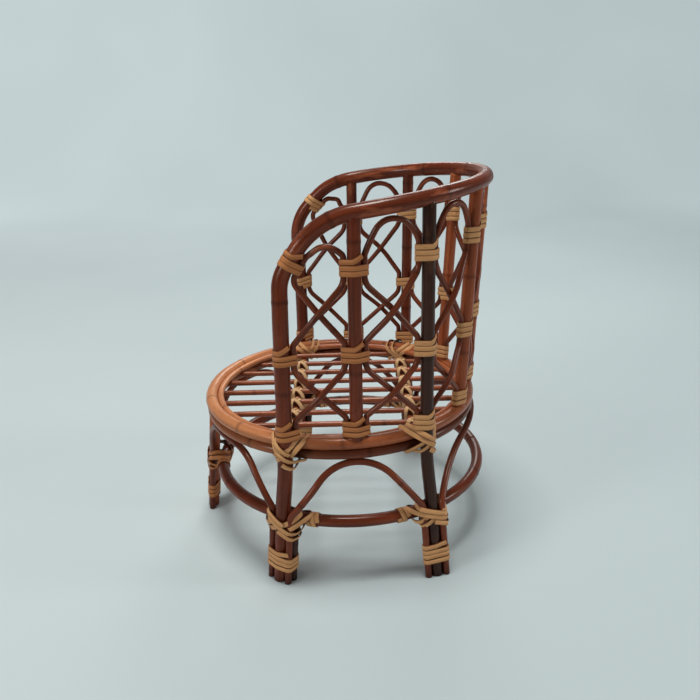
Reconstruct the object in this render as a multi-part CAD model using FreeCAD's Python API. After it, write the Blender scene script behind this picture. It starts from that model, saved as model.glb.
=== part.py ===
import FreeCAD, Part
import math
import os

# A small round tub chair of bent rattan poles, tied with flat cane. Millimetres, +Z up, the front
# towards -Y and the sitter's left towards +X. The origin is on the floor below the seat's centre.
# Angles are measured from the front, growing towards the sitter's left.
V = FreeCAD.Vector
UP = V(0, 0, 1)
os.makedirs("parts", exist_ok=True)

# Seat: three rings, slats from front to back and two cross bars below the slats
RIM_RADIUS = 120.0
SEAT_HEIGHT = 126.0
UPPER_RIM_D = 10.5
INNER_RIM_D = 5.5
LOWER_RIM_D = 8.5
SLAT_D = 5.0
SLAT_COUNT = 9
SLAT_MARGIN = 22.5
BAR_D = 7.0
FRONT_BAR_Y = -40.0
REAR_BAR_Y = 63.0

# Stretcher ring inside the legs, so much wider than the seat rim and set so far back
STRETCHER_SPREAD = 3.0
STRETCHER_BACK = 8.0
STRETCHER_HEIGHT = 56.0
STRETCHER_D = 10.4

# Legs, arms and the rail above the posts. Spreads and insets are measured from the seat rim.
HOOP_D = 12.5
POST_D = 10.5
FRONT_LEG_D = 10.5
ARM_ANGLE = 71.4
ARM_LEG_ANGLE = 65.5
REAR_LEG_ANGLE = 122.9
REAR_LEG_LOW_ANGLE = 120.6
SIDE_POST_ANGLE = 97.0
REAR_POST_ANGLE = 150.5
ARM_MID_SPREAD = 6.4
ARM_MID_ANGLE = 71.1
ARM_TOP_INSET = 3.0
LEFT_ARM_ANGLE = 74.4
LEFT_ARM_DROP = 47.5
LEFT_ARM_TILT = 33.0
LEFT_ARM_BEND = 9.0
RIGHT_ARM_ANGLE = 78.3
RIGHT_ARM_DROP = 35.0
RIGHT_ARM_TILT = 45.0
RAIL_INSET = 9.5
RAIL_BACK = 19.0
RAIL_HEIGHT = 320.0
RAIL_DROP = 13.5
RAIL_STEP = 30.5

# Bays of the back between its middle and each post
REAR_POST_BAY = 1
REAR_LEG_BAY = 2
SIDE_POST_BAY = 3

# Thin strands between the posts, and where they are tied to them
STRAND_D = 4.8
MIDDLE_TIE_HEIGHT = 200.0
UPPER_TIE_DROP = 40.0
LOWER_TIE_GAP = 1.2
LOWER_BEND = 2.0
UPPER_BEND = 6.0
LOOP_LEAN = 22.0
LOW_LOOP_LEAN = 48.0
BAY_BULGE = 2.5
LOOP_CLEARANCE = 0.6
LEFT_LOOP_RISE = 16.0
RIGHT_LOOP_RISE = 19.0

# Thin arches between the legs and short stubs beside them
ARCH_D = 5.7
ARCH_SPRING = 62.0
ARCH_BEND = 4.0
ARCH_LEAN = 35.0
REAR_ARCH_LEAN = 45.0
REAR_CROWN_LEAN = 30.0
CROWN_TURN = 24.0
STUB_D = 7.0
STUB_HEIGHT = 64.0

# Flat cane: turns laid side by side
CANE_WIDTH = 4.3
CANE_THICKNESS = 0.9
CANE_GAP = 0.15
POST_TURNS = 3
LOW_TURNS = 3
FOOT_TURNS = 4
FOOT_TIE_HEIGHT = 22.0
BAND_TURNS = 2
BAND_OFFSET = 22.0
STRETCHER_TIE_SLOPE = 30.0
RIM_TIE_SLOPE = 45.0
LASHING_SLOPE = 45.0

# Room left between poles that touch, how far a post's end is hollowed over the pole it meets, and
# how far poles run below the floor before they are cut level
FIT = 0.2
SADDLE = 1.5
OVERRUN = 8.0
STRAIGHT = 1e-6
FLOOR_CUT = 400.0


# Places and directions

def spot(radius, angle, height, back=0.0):
    turn = math.radians(angle)
    return V(radius * math.sin(turn), back - radius * math.cos(turn), height)


def tangent(angle):
    return V(math.cos(math.radians(angle)), math.sin(math.radians(angle)), 0)


def angle_of(point):
    return math.degrees(math.atan2(point.x, -point.y))


def unit(vector):
    return V(vector).normalize()


def across(vector, axis):
    return unit(vector - axis * vector.dot(axis))


def mirrored(vector):
    return V(-vector.x, vector.y, vector.z)


def lean_towards(side, degrees):
    return UP * math.cos(math.radians(degrees)) + side * math.sin(math.radians(degrees))


def on_line(point, direction, height):
    return point + direction * ((height - point.z) / direction.z)


# Poles: round sections along straight runs and tangent arcs

def meeting(start, leaving, end, arriving):
    span = end - start
    spread = 2 * (1 - leaving.dot(arriving))
    along = span.dot(leaving + arriving)
    if spread < STRAIGHT:
        reach = span.dot(span) / (2 * along)
    else:
        reach = (math.sqrt(along * along + spread * span.dot(span)) - along) / spread
    first, second = start + leaving * reach, end - arriving * reach
    return (first + second) * 0.5, unit(second - first)


def pole(stations, diameter):
    start, heading = stations[0]
    ring = Part.Circle(start, heading, diameter / 2).toShape()
    faces = [Part.Face(Part.Wire(ring))]
    for (start, leaving), (end, arriving) in zip(stations, stations[1:]):
        middle, passing = meeting(start, leaving, end, arriving)
        for point, heading, target in ((start, leaving, middle), (middle, passing, end)):
            chord = target - point
            axis = heading.cross(chord)
            if axis.Length < STRAIGHT * chord.Length:
                faces.append(ring.extrude(chord))
                ring = ring.translated(chord)
                continue
            axis.normalize()
            inward = axis.cross(heading)
            centre = point + inward * (chord.dot(chord) / (2 * chord.dot(inward)))
            turn = 2 * math.degrees(heading.getAngle(chord))
            faces.append(ring.revolve(centre, axis, turn))
            ring = ring.rotated(centre, axis, turn)
    faces.append(Part.Face(Part.Wire(ring)))
    shell = Part.Shell(faces)
    shell.sewShape()
    solid = Part.Solid(shell)
    if solid.Volume < 0:
        solid.reverse()
    return solid


def stick(start, end, diameter):
    return Part.makeCylinder(diameter / 2, (end - start).Length, start, end - start)


def above_floor(shape):
    below = Part.makeBox(2 * FLOOR_CUT, 2 * FLOOR_CUT, FLOOR_CUT, V(-FLOOR_CUT, -FLOOR_CUT, -FLOOR_CUT))
    return shape.cut(below)


def other_half(stations):
    return [(mirrored(point), -mirrored(heading)) for point, heading in reversed(stations)]


def leaned(point, way, side, lean, bend):
    # Station past a short bend that turns a pole from its way towards one side.
    tilt = math.radians(lean)
    leaving = way * math.cos(tilt) + side * math.sin(tilt)
    return point + (way + leaving) * bend, leaving


def eased(before, after, middle, bends):
    # Stations over a first bend, straight through a middle point, and over a second bend.
    corner, far_corner = before[0] + before[1] * bends[0], after[0] - after[1] * bends[1]
    leaving, arriving = unit(middle - corner), unit(far_corner - middle)
    return [(corner + leaving * bends[0], leaving), (middle, unit(far_corner - corner)),
            (far_corner - arriving * bends[1], arriving)]


def flipped(shape):
    return shape.mirror(V(0, 0, 0), V(1, 0, 0))


# Cane: flat turns drawn tight around circles, each circle given as (x, y, radius)

def belt(circles, spare):
    grown = [(V(x, y, 0), radius + spare) for x, y, radius in circles]
    if len(grown) == 1:
        return Part.Wire(Part.Circle(grown[0][0], UP, grown[0][1]).toShape())

    def edge_point(index, angle):
        return grown[index][0] + V(math.cos(angle), math.sin(angle), 0) * grown[index][1]

    here = min(range(len(grown)), key=lambda index: grown[index][0].y - grown[index][1])
    angle, finish = -math.pi / 2, 1.5 * math.pi
    edges = []
    while angle < finish - STRAIGHT:
        best, follower = finish, here
        for index, (centre, radius) in enumerate(grown):
            offset = centre - grown[here][0]
            if index == here or offset.Length <= abs(radius - grown[here][1]) + STRAIGHT:
                continue
            turn = math.atan2(offset.y, offset.x) - math.acos((grown[here][1] - radius) / offset.Length)
            turn = angle + (turn - angle + STRAIGHT) % (2 * math.pi) - STRAIGHT
            if turn < best:
                best, follower = turn, index
        if best - angle > STRAIGHT:
            ends = [edge_point(here, angle + (best - angle) * share) for share in (0, 0.5, 1)]
            edges.append(Part.Arc(*ends).toShape())
        if follower != here:
            edges.append(Part.LineSegment(edge_point(here, best), edge_point(follower, best)).toShape())
        here, angle = follower, best
    return Part.Wire(edges)


def cane_turn(circles, origin, across_axis, axis, lift=0.0):
    outline = [belt(circles, FIT + lift + CANE_THICKNESS), belt(circles, FIT + lift)]
    turn = Part.makeFace(outline, "Part::FaceMakerBullseye").extrude(UP * CANE_WIDTH)
    turn.translate(UP * (-CANE_WIDTH / 2))
    facing = FreeCAD.Rotation(across_axis, V(), axis, "ZXY")
    turn.Placement = FreeCAD.Placement(origin, facing) * turn.Placement
    return turn


def tie(circles, origin, across_axis, axis, turns):
    pitch = CANE_WIDTH + CANE_GAP
    middle = (turns - 1) / 2
    return [cane_turn(circles, origin + axis * ((index - middle) * pitch), across_axis, axis)
            for index in range(turns)]


def slanting(place, depth, radius, slope):
    # Circles that stand for a round pole cut at a slope, with room for the width of the cane.
    stretch = 1 / math.cos(slope)
    reach = radius * (stretch - 1) + CANE_WIDTH / 2 * math.tan(slope)
    middle = place * stretch
    return [(middle - reach, depth, radius), (middle + reach, depth, radius)]


def cross_tie(upright, level, origin, side, outward, slope):
    # Two turns that cross in an X: upright poles at (side place, depth, radius), level poles at
    # (height, depth, radius), all measured from the origin.
    tilt = math.radians(slope)
    rise = outward.cross(side)
    turns = []
    for steep, lift in ((1, 0.0), (-1, CANE_THICKNESS + FIT)):
        circles = []
        for place, depth, radius in upright:
            circles += slanting(place, depth, radius, tilt)
        for height, depth, radius in level:
            circles += slanting(height * steep, depth, radius, math.pi / 2 - tilt)
        along = side * math.cos(tilt) + rise * (steep * math.sin(tilt))
        turns.append(cane_turn(circles, origin, along, along.cross(outward), lift))
    return turns


def save(name, shapes):
    Part.makeCompound(shapes).exportStep("parts/" + name + ".step")


# Seat rings

def ring(radius, diameter, height, back=0.0, grow=0.0):
    return Part.makeTorus(radius, diameter / 2 + grow, V(0, back, height), UP)


STRETCHER_RADIUS = RIM_RADIUS + STRETCHER_SPREAD
RIM_TOP = SEAT_HEIGHT + UPPER_RIM_D / 2
LOWER_RIM_HEIGHT = SEAT_HEIGHT - UPPER_RIM_D / 2 - LOWER_RIM_D / 2 - FIT
INNER_RIM_RADIUS = RIM_RADIUS - UPPER_RIM_D / 2 - INNER_RIM_D / 2 - FIT
SLAT_HEIGHT = SEAT_HEIGHT - INNER_RIM_D / 2 - SLAT_D / 2 - FIT
BAR_HEIGHT = SLAT_HEIGHT - SLAT_D / 2 - BAR_D / 2 - FIT
save("seat_rim_upper", [ring(RIM_RADIUS, UPPER_RIM_D, SEAT_HEIGHT)])
save("seat_rim_inner", [ring(INNER_RIM_RADIUS, INNER_RIM_D, SEAT_HEIGHT)])
save("seat_rim_lower", [ring(RIM_RADIUS, LOWER_RIM_D, LOWER_RIM_HEIGHT)])
save("stretcher_ring", [ring(STRETCHER_RADIUS, STRETCHER_D, STRETCHER_HEIGHT, STRETCHER_BACK)])

# Seat slats end against the rings, cross bars end inside the inner ring and are lashed to the slats
# that they run past
SLAT_REACH = RIM_RADIUS - max(UPPER_RIM_D, LOWER_RIM_D) / 2 - FIT
BAR_REACH = INNER_RIM_RADIUS - INNER_RIM_D / 2 - FIT
slat_spread = RIM_RADIUS - SLAT_MARGIN
slat_places = [slat_spread * (2 * index / (SLAT_COUNT - 1) - 1) for index in range(SLAT_COUNT)]
for index, place in enumerate(slat_places):
    half = math.sqrt(SLAT_REACH ** 2 - (abs(place) + SLAT_D / 2) ** 2)
    slat = stick(V(place, -half, SLAT_HEIGHT), V(place, half, SLAT_HEIGHT), SLAT_D)
    save("seat_slat_%d" % (index + 1), [slat])

for name, place in (("front", FRONT_BAR_Y), ("rear", REAR_BAR_Y)):
    half = math.sqrt(BAR_REACH ** 2 - (abs(place) + BAR_D / 2) ** 2)
    save("seat_bar_" + name, [stick(V(-half, place, BAR_HEIGHT), V(half, place, BAR_HEIGHT), BAR_D)])
    lashing = []
    for slat_place in slat_places:
        if abs(slat_place) + SLAT_D < half:
            lashing += cross_tie([(0, 0, BAR_D / 2)], [(0, SLAT_HEIGHT - BAR_HEIGHT, SLAT_D / 2)],
                                 V(slat_place, place, BAR_HEIGHT), V(0, 1, 0), UP, LASHING_SLOPE)
    save("seat_lashing_" + name, lashing)


# Legs stand outside the rim and the stretcher ring, and bend at the rim

def leg_line(angle, low_angle, diameter):
    rim_gap = UPPER_RIM_D / 2 + diameter / 2 + FIT
    low_gap = STRETCHER_D / 2 + diameter / 2 + FIT
    high = spot(RIM_RADIUS + rim_gap, angle, SEAT_HEIGHT)
    low = spot(STRETCHER_RADIUS + low_gap, low_angle, STRETCHER_HEIGHT, STRETCHER_BACK)
    return high, low, unit(high - low)


RAIL_RADIUS = RIM_RADIUS - RAIL_INSET
arm_rim, arm_low, arm_leg_way = leg_line(ARM_ANGLE, ARM_LEG_ANGLE, HOOP_D)
arm_mid = spot(RIM_RADIUS + ARM_MID_SPREAD, ARM_MID_ANGLE, MIDDLE_TIE_HEIGHT)
arm_way = unit(arm_mid - arm_rim)
tie_turns = (LOW_TURNS, POST_TURNS, POST_TURNS)
tie_halves = [turns * (CANE_WIDTH + CANE_GAP) / 2 for turns in tie_turns]


def arm_top(angle, drop, tilt):
    # Upper tie of an arm: its middle, the arm's direction there, and half its length.
    point = spot(RIM_RADIUS - ARM_TOP_INSET, angle, RAIL_HEIGHT - drop)
    rearward = unit(spot(RAIL_RADIUS, 90, point.z, RAIL_BACK) - point)
    return point, lean_towards(rearward, tilt), tie_halves[-1]


def rail_station(bays):
    # Centre of the rail, and its direction, so many bays from the middle of the back.
    angle = 180 - RAIL_STEP * bays
    point = spot(RAIL_RADIUS, angle, RAIL_HEIGHT - RAIL_DROP * (bays / SIDE_POST_BAY) ** 2, RAIL_BACK)
    climb = 2 * RAIL_DROP * bays / SIDE_POST_BAY ** 2 / (RAIL_RADIUS * math.radians(RAIL_STEP))
    return point, unit(tangent(angle) + UP * climb)


def leg_start(low, way):
    return [(on_line(low, way, -OVERRUN), way), (low, way)]


def elbow(top, bend):
    # Station before a short bend below an arm's upper tie, at the end of an even run from its middle tie.
    point, way, half = top
    corner = point - way * (half + bend)
    chord = unit(corner - arm_mid)
    leaving = chord * (2 * chord.dot(arm_way)) - arm_way
    return corner - leaving * bend, leaving


def hoop_half(top, elbows=()):
    point, way, half = top
    path = leg_start(arm_low, arm_leg_way) + [(arm_rim, arm_way), (arm_mid, arm_way), *elbows]
    path += [(point - way * half, way), (point + way * half, way)]
    return path + [rail_station(bays) for bays in range(SIDE_POST_BAY, 0, -1)]


left_arm_top = arm_top(LEFT_ARM_ANGLE, LEFT_ARM_DROP, LEFT_ARM_TILT)
right_arm_top = arm_top(RIGHT_ARM_ANGLE, RIGHT_ARM_DROP, RIGHT_ARM_TILT)
left_half = hoop_half(left_arm_top, [elbow(left_arm_top, LEFT_ARM_BEND)])
hoop_path = left_half + [rail_station(0)] + other_half(hoop_half(right_arm_top))
hoop_room = pole(hoop_path, HOOP_D + 2 * FIT)
save("arm_rail_hoop", [above_floor(pole(hoop_path, HOOP_D))])

# Rear legs run on upwards as posts to the rail; the other posts stand on the rim
rear_rim, rear_low, rear_leg_way = leg_line(REAR_LEG_ANGLE, REAR_LEG_LOW_ANGLE, POST_D)
rear_way = unit(rail_station(REAR_LEG_BAY)[0] - rear_rim)
rear_top = rail_station(REAR_LEG_BAY)[0] - rear_way * (HOOP_D / 2 - SADDLE)
rear_path = leg_start(rear_low, rear_leg_way) + [(rear_rim, rear_way), (rear_top, rear_way)]
rear_leg = above_floor(pole(rear_path, POST_D)).cut(hoop_room)
save("rear_leg_post_left", [rear_leg])
save("rear_leg_post_right", [flipped(rear_leg)])

rim_room = ring(RIM_RADIUS, UPPER_RIM_D, SEAT_HEIGHT, grow=FIT)


def short_post(angle, bays):
    foot, top = spot(RIM_RADIUS, angle, RIM_TOP - SADDLE), rail_station(bays)[0]
    way = unit(top - foot)
    post = stick(foot, top - way * (HOOP_D / 2 - SADDLE), POST_D).cut(hoop_room).cut(rim_room)
    return post, foot, way


side_post, side_foot, side_way = short_post(SIDE_POST_ANGLE, SIDE_POST_BAY)
rear_post, rear_foot, rear_post_way = short_post(REAR_POST_ANGLE, REAR_POST_BAY)
centre_post, centre_foot, centre_way = short_post(180, 0)
save("back_post_side_left", [side_post])
save("back_post_side_right", [flipped(side_post)])
save("back_post_rear_left", [rear_post])
save("back_post_rear_right", [flipped(rear_post)])
save("back_post_centre", [centre_post])

# The front leg stands under the lower ring
front_reach = STRETCHER_RADIUS + STRETCHER_D / 2 + FRONT_LEG_D / 2 + FIT
front_low = spot(front_reach, 0, STRETCHER_HEIGHT, STRETCHER_BACK)
front_top = spot(RIM_RADIUS, 0, LOWER_RIM_HEIGHT - LOWER_RIM_D / 2 + SADDLE)
front_way = unit(front_top - front_low)
front_leg = above_floor(stick(on_line(front_low, front_way, -OVERRUN), front_top, FRONT_LEG_D))
save("front_leg", [front_leg.cut(ring(RIM_RADIUS, LOWER_RIM_D, LOWER_RIM_HEIGHT, grow=FIT))])

# Ties on the posts: for each post its radius and, at three heights, a point on its axis, its direction
# and half the length over which a strand lies against it
LOW_TIE_HEIGHT = RIM_TOP + LOWER_TIE_GAP + LOW_TURNS * (CANE_WIDTH + CANE_GAP) / 2


def tie_points(point, way, top_height):
    heights = (LOW_TIE_HEIGHT, MIDDLE_TIE_HEIGHT, top_height)
    return [(on_line(point, way, height), way, half) for height, half in zip(heights, tie_halves)]


def upper_tie(bays):
    return rail_station(bays)[0].z - UPPER_TIE_DROP


arm_ties = tie_points(arm_rim, arm_way, MIDDLE_TIE_HEIGHT)[:2]
left_posts = [
    ("arm_left", HOOP_D / 2, arm_ties + [left_arm_top]),
    ("side_left", POST_D / 2, tie_points(side_foot, side_way, upper_tie(SIDE_POST_BAY))),
    ("rear_leg_left", POST_D / 2, tie_points(rear_rim, rear_way, upper_tie(REAR_LEG_BAY))),
    ("rear_left", POST_D / 2, tie_points(rear_foot, rear_post_way, upper_tie(REAR_POST_BAY))),
    ("centre", POST_D / 2, tie_points(centre_foot, centre_way, upper_tie(0))),
]


def mirrored_post(post):
    name, radius, ties = post
    other = [(mirrored(point), mirrored(way), half) for point, way, half in ties]
    return name.replace("left", "right"), radius, other


posts = left_posts + [mirrored_post(post) for post in reversed(left_posts[1:-1])]
posts.append(mirrored_post(("arm_left", HOOP_D / 2, arm_ties + [right_arm_top])))


def strand_seat(post, neighbour, level):
    # Where a strand lies against a post: its direction from the post and its distance.
    point, way, half = post[2][level]
    return across(neighbour[2][level][0] - point, way), post[1] + STRAND_D / 2 + FIT


# Strands: from the foot of one post across to the next, back, over a loop under the rail, and down again

def strand_path(first, second, peak_height, leans):
    pairs = [(first, second), (second, first)]
    rising = (LOWER_BEND, UPPER_BEND)

    def at_tie(post, neighbour, level, share, beyond=0.0):
        point, way, half = post[2][level]
        side, distance = strand_seat(post, neighbour, level)
        return point + side * distance + way * (half * share + beyond)

    def along_tie(post, neighbour, level, climb):
        way = post[2][level][1] * climb
        return [(at_tie(post, neighbour, level, -climb), way), (at_tie(post, neighbour, level, climb), way)]

    def crossed(before, after, low, layer, bends):
        # Before and after one crossing of the bay, between a tie level and the next one up.
        middle = V()
        for pair in pairs:
            middle += (at_tie(*pair, low, 1, LOWER_BEND) + at_tie(*pair, low + 1, -1, -UPPER_BEND)) * 0.25
        outward = unit(V(middle.x, middle.y, 0)) * (BAY_BULGE + layer * (STRAND_D + FIT) / 2)
        return before + eased(before[-1], after[0], middle + outward, bends)

    def loop_end(post, neighbour, lean):
        side = strand_seat(post, neighbour, 2)[0]
        return leaned(at_tie(post, neighbour, 2, 1), post[2][2][1], side, lean, LOWER_BEND)

    (start, leaving), (end, arriving) = [loop_end(*pair, lean) for pair, lean in zip(pairs, leans)]
    peak = (start + end) * 0.5
    peak = V(peak.x, peak.y, 0) + unit(V(peak.x, peak.y, 0)) * BAY_BULGE + UP * peak_height
    climbing = [along_tie(*pairs[level % 2], level, 1) for level in (0, 1, 2)]
    falling = [along_tie(*pairs[(level + 1) % 2], level, -1) for level in (2, 1, 0)]
    path = crossed(climbing[0], climbing[1], 0, 1, rising)
    path += crossed(climbing[1], climbing[2], 1, -1, rising) + climbing[2]
    path += [(start, leaving), (peak, across(end - start, UP)), (end, -arriving)]
    path += crossed(falling[0], falling[1], 1, 1, rising[::-1])
    path += crossed(falling[1], falling[2], 0, -1, rising[::-1])
    return path + falling[2]


neighbour_pairs = list(zip(posts, posts[1:]))
LOOP_RISE = UPPER_TIE_DROP - HOOP_D / 2 - STRAND_D / 2 - LOOP_CLEARANCE
arm_loops = {0: (LEFT_LOOP_RISE, (LOOP_LEAN, LOW_LOOP_LEAN)),
             len(neighbour_pairs) - 1: (RIGHT_LOOP_RISE, (LOW_LOOP_LEAN, LOOP_LEAN))}
for index, (first, second) in enumerate(neighbour_pairs):
    heights = [post[2][-1][0].z for post in (first, second)]
    peak_height, leans = (heights[0] + heights[1]) / 2 + LOOP_RISE, (LOOP_LEAN, LOOP_LEAN)
    if index in arm_loops:
        rise, leans = arm_loops[index]
        peak_height = min(heights) + rise
    save("back_strand_%d" % (index + 1), [pole(strand_path(first, second, peak_height, leans), STRAND_D)])

for index, post in enumerate(posts):
    neighbours = posts[max(index - 1, 0):index] + posts[index + 1:index + 2]
    turns = []
    for level, (point, way, half) in enumerate(post[2]):
        seats = [strand_seat(post, neighbour, level) for neighbour in neighbours]
        first_side = seats[0][0]
        other_side = way.cross(first_side)
        circles = [(0, 0, post[1])]
        for side, gap in seats:
            circles.append((side.dot(first_side) * gap, side.dot(other_side) * gap, STRAND_D / 2))
        turns += tie(circles, point, first_side, way, tie_turns[level])
    save("post_tie_" + post[0], turns)


# Feet: beside each leg run the ends of two thin arches, and a stub on the rear side of the four side legs

def nestled(first_reach, other, other_reach):
    # Point so far from the origin and so far from another point, on its outward side.
    gap = other.Length
    along = (gap ** 2 + first_reach ** 2 - other_reach ** 2) / (2 * gap)
    out = math.sqrt(first_reach ** 2 - along ** 2)
    way = unit(other)
    return way * along + V(-way.y, way.x, 0) * out


def foot_layout(diameter, with_stub):
    # Places beside the leg as (towards the rear, outward): arch end in front, arch end behind, stub.
    beside = diameter / 2 + ARCH_D / 2 + FIT
    front = V(-beside, 0, 0)
    if not with_stub:
        return front, V(beside, 0, 0), None
    stub_reach = diameter / 2 + STUB_D / 2 + FIT
    stub_depth = STUB_D / 2 - diameter / 2
    stub = V(math.sqrt(stub_reach ** 2 - stub_depth ** 2), stub_depth, 0)
    return front, nestled(beside, stub, STUB_D / 2 + ARCH_D / 2 + FIT), stub


class Leg:
    def __init__(self, low, way, diameter, with_stub):
        self.low, self.way, self.diameter = low, way, diameter
        self.outward = across(V(low.x, low.y - STRETCHER_BACK, 0), way)
        self.rearward = way.cross(self.outward)
        self.front, self.rear, self.stub = foot_layout(diameter, with_stub)

    def beside(self, place, height):
        return on_line(self.low, self.way, height) + self.rearward * place.x + self.outward * place.y

    def bundle(self):
        places = [(self.front, ARCH_D / 2), (self.rear, ARCH_D / 2)]
        if self.stub:
            places.append((self.stub, STUB_D / 2))
        return [(0, 0, self.diameter / 2)] + [(place.x, place.y, radius) for place, radius in places]

    def foot_ties(self, band_side):
        # Turns around the foot, an X over the stretcher ring, and a band on it behind or before the leg.
        foot = on_line(self.low, self.way, FOOT_TIE_HEIGHT)
        turns = tie(self.bundle(), foot, self.rearward, -self.way, FOOT_TURNS)
        sag = STRETCHER_D ** 2 / STRETCHER_RADIUS
        ring_below = [(0, -self.diameter / 2 - FIT - STRETCHER_D / 2, STRETCHER_D / 2 + sag)]
        turns += cross_tie(self.bundle(), ring_below, self.low, self.rearward, self.outward,
                           STRETCHER_TIE_SLOPE)
        angle = angle_of(self.outward) + band_side * math.degrees(BAND_OFFSET / STRETCHER_RADIUS)
        middle = spot(STRETCHER_RADIUS, angle, STRETCHER_HEIGHT, STRETCHER_BACK)
        return turns + tie([(0, 0, STRETCHER_D / 2)], middle, UP, tangent(angle), BAND_TURNS)


def rim_cross_tie(rim_point, diameter):
    # An X over the leg and the three seat rings.
    outward = unit(V(rim_point.x, rim_point.y, 0))
    centre = V(rim_point.x, rim_point.y, (SEAT_HEIGHT + LOWER_RIM_HEIGHT) / 2)
    depth = RIM_RADIUS - V(rim_point.x, rim_point.y, 0).Length
    rings = [(SEAT_HEIGHT - centre.z, depth, UPPER_RIM_D / 2),
             (LOWER_RIM_HEIGHT - centre.z, depth, LOWER_RIM_D / 2),
             (SEAT_HEIGHT - centre.z, depth + INNER_RIM_RADIUS - RIM_RADIUS, INNER_RIM_D / 2)]
    return cross_tie([(0, 0, diameter / 2)], rings, centre, UP.cross(outward), outward, RIM_TIE_SLOPE)


arm_leg = Leg(arm_low, arm_leg_way, HOOP_D, True)
rear_leg_foot = Leg(rear_low, rear_leg_way, POST_D, True)
front_foot = Leg(front_low, front_way, FRONT_LEG_D, False)
BEHIND, BEFORE = 1, -1
for name, leg, rim_point, band_side in (("arm", arm_leg, arm_rim, BEHIND),
                                        ("rear", rear_leg_foot, rear_rim, BEFORE)):
    stub = above_floor(stick(leg.beside(leg.stub, -OVERRUN), leg.beside(leg.stub, STUB_HEIGHT), STUB_D))
    ties = leg.foot_ties(band_side) + rim_cross_tie(rim_point, leg.diameter)
    save("foot_stub_%s_left" % name, [stub])
    save("foot_stub_%s_right" % name, [flipped(stub)])
    save("leg_tie_%s_left" % name, ties)
    save("leg_tie_%s_right" % name, [flipped(turn) for turn in ties])

save("leg_tie_front", front_foot.foot_ties(BEHIND))

# Thin arches from foot to foot, touching the lower seat ring at their tops: four from below, the rear one
# from below and behind
CROWN_GAP = LOWER_RIM_D / 2 + ARCH_D / 2 + FIT


def arch_end(leg, place, side, lean):
    # From the floor up beside a leg and over a short bend towards the crown.
    foot, spring = leg.beside(place, -OVERRUN), leg.beside(place, ARCH_SPRING)
    past_bend = leaned(spring, leg.way, across(side, leg.way), lean, ARCH_BEND)
    return [(foot, leg.way), (spring, leg.way), past_bend]


def crown(angle):
    return [(spot(RIM_RADIUS, angle, LOWER_RIM_HEIGHT - CROWN_GAP), tangent(angle))]


def leg_arch(first, second):
    springs = first.beside(first.rear, ARCH_SPRING), second.beside(second.front, ARCH_SPRING)
    angles = [angle_of(spring) for spring in springs]
    start = arch_end(first, first.rear, tangent(angles[0]), ARCH_LEAN)
    end = arch_end(second, second.front, -tangent(angles[1]), ARCH_LEAN)
    if angles[1] - angles[0] > 2 * CROWN_TURN:
        top = crown(angles[0] + CROWN_TURN) + crown(angles[1] - CROWN_TURN)
    else:
        top = crown((angles[0] + angles[1]) / 2)
    return above_floor(pole(start + top + [(point, -way) for point, way in reversed(end)], ARCH_D))


front_arch = leg_arch(front_foot, arm_leg)
side_arch = leg_arch(arm_leg, rear_leg_foot)
crown_tilt = math.radians(REAR_CROWN_LEAN)
rear_crown = spot(RIM_RADIUS + CROWN_GAP * math.sin(crown_tilt), 180,
                  LOWER_RIM_HEIGHT - CROWN_GAP * math.cos(crown_tilt))
to_crown = rear_crown - rear_leg_foot.beside(rear_leg_foot.rear, ARCH_SPRING)
rear_end = arch_end(rear_leg_foot, rear_leg_foot.rear, to_crown, REAR_ARCH_LEAN)
rear_arch_path = rear_end + [(rear_crown, tangent(180))] + other_half(rear_end)
save("leg_arch_front_left", [front_arch])
save("leg_arch_front_right", [flipped(front_arch)])
save("leg_arch_side_left", [side_arch])
save("leg_arch_side_right", [flipped(side_arch)])
save("leg_arch_rear", [above_floor(pole(rear_arch_path, ARCH_D))])
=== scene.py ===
import math
import random
import bmesh
import bpy
from mathutils import Matrix, Vector, geometry, noise


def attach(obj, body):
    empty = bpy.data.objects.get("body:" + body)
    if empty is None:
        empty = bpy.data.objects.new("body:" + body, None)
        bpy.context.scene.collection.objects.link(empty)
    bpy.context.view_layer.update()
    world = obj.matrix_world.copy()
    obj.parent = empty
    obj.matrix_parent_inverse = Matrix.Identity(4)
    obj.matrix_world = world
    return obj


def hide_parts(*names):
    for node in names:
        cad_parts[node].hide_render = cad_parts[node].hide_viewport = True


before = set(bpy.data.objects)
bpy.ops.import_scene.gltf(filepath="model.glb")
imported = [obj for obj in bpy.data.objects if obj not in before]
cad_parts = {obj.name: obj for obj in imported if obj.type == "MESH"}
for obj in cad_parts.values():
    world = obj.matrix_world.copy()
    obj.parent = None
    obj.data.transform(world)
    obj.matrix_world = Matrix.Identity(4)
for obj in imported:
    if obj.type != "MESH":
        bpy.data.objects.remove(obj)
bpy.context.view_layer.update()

# Seat rings: three hoops of round rattan pole, steamed, bent, stained red-brown and varnished. The thick
# one carries the back posts, a thin one lies inside it on the slats, and the third is nailed below it.
# The two ends of each hoop meet in a butt joint at the back.
UP = Vector((0, 0, 1))
FIT = 0.0002
RIM_RADIUS = 0.120
SEAT_HEIGHT = 0.126
UPPER_RIM_D = 0.0105
INNER_RIM_D = 0.0055
LOWER_RIM_D = 0.0085
INNER_RIM_RADIUS = RIM_RADIUS - UPPER_RIM_D / 2 - INNER_RIM_D / 2 - FIT
LOWER_RIM_HEIGHT = SEAT_HEIGHT - UPPER_RIM_D / 2 - LOWER_RIM_D / 2 - FIT
RIM_TOP = SEAT_HEIGHT + UPPER_RIM_D / 2
BUTT_ANGLE = 186.0
BUTT_GAP = 0.0004
POLE_STEP = 0.003
POLE_SIDES = 18
SCAR_SPACING = (0.055, 0.105)
SCAR_SWELL = 0.022
WAVER = 0.00016
WAVER_PITCH = 30.0
GRAIN_START = 40.0
END_BEVEL = 0.0006
SHARP_EDGE = 45.0
FIBRE_SCALE = (7, 430, 430)
PATCH_SCALE = (17, 95, 95)
FLECK_SCALE = (260, 760, 760)
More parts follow.
